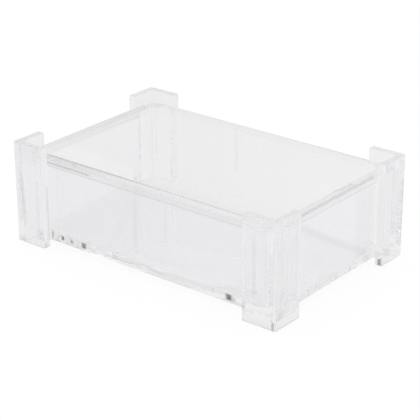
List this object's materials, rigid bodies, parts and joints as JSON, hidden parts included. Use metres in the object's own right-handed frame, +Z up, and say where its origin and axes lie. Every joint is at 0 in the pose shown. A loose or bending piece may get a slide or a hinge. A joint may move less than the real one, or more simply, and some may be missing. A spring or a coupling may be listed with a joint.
{
  "type": "business card holder",
  "caption": "Open clear plastic tray with a beaded rim, held in L-shaped corner posts that are its feet and the seats for another tray; it holds a pile of business cards.",
  "frame": {"origin": "on the table, under the middle of the holder's plan, level with the undersides of the feet", "axes": "+X along the long side to the right, +Y from the front to the back, +Z up"},
  "size_m": [0.105, 0.0682, 0.0344],
  "materials": {
    "clear_wall": "clear, polished",
    "clear_floor": "clear, polished",
    "clear_post": "clear, polished faces"
  },
  "bodies": {
    "root": {"wall_ring": "clear_wall", "floor_plate": "clear_floor", "corner_post_front_left": "clear_post", "corner_post_front_right": "clear_post", "corner_post_back_left": "clear_post", "corner_post_back_right": "clear_post"}
  },
  "joints": []
}
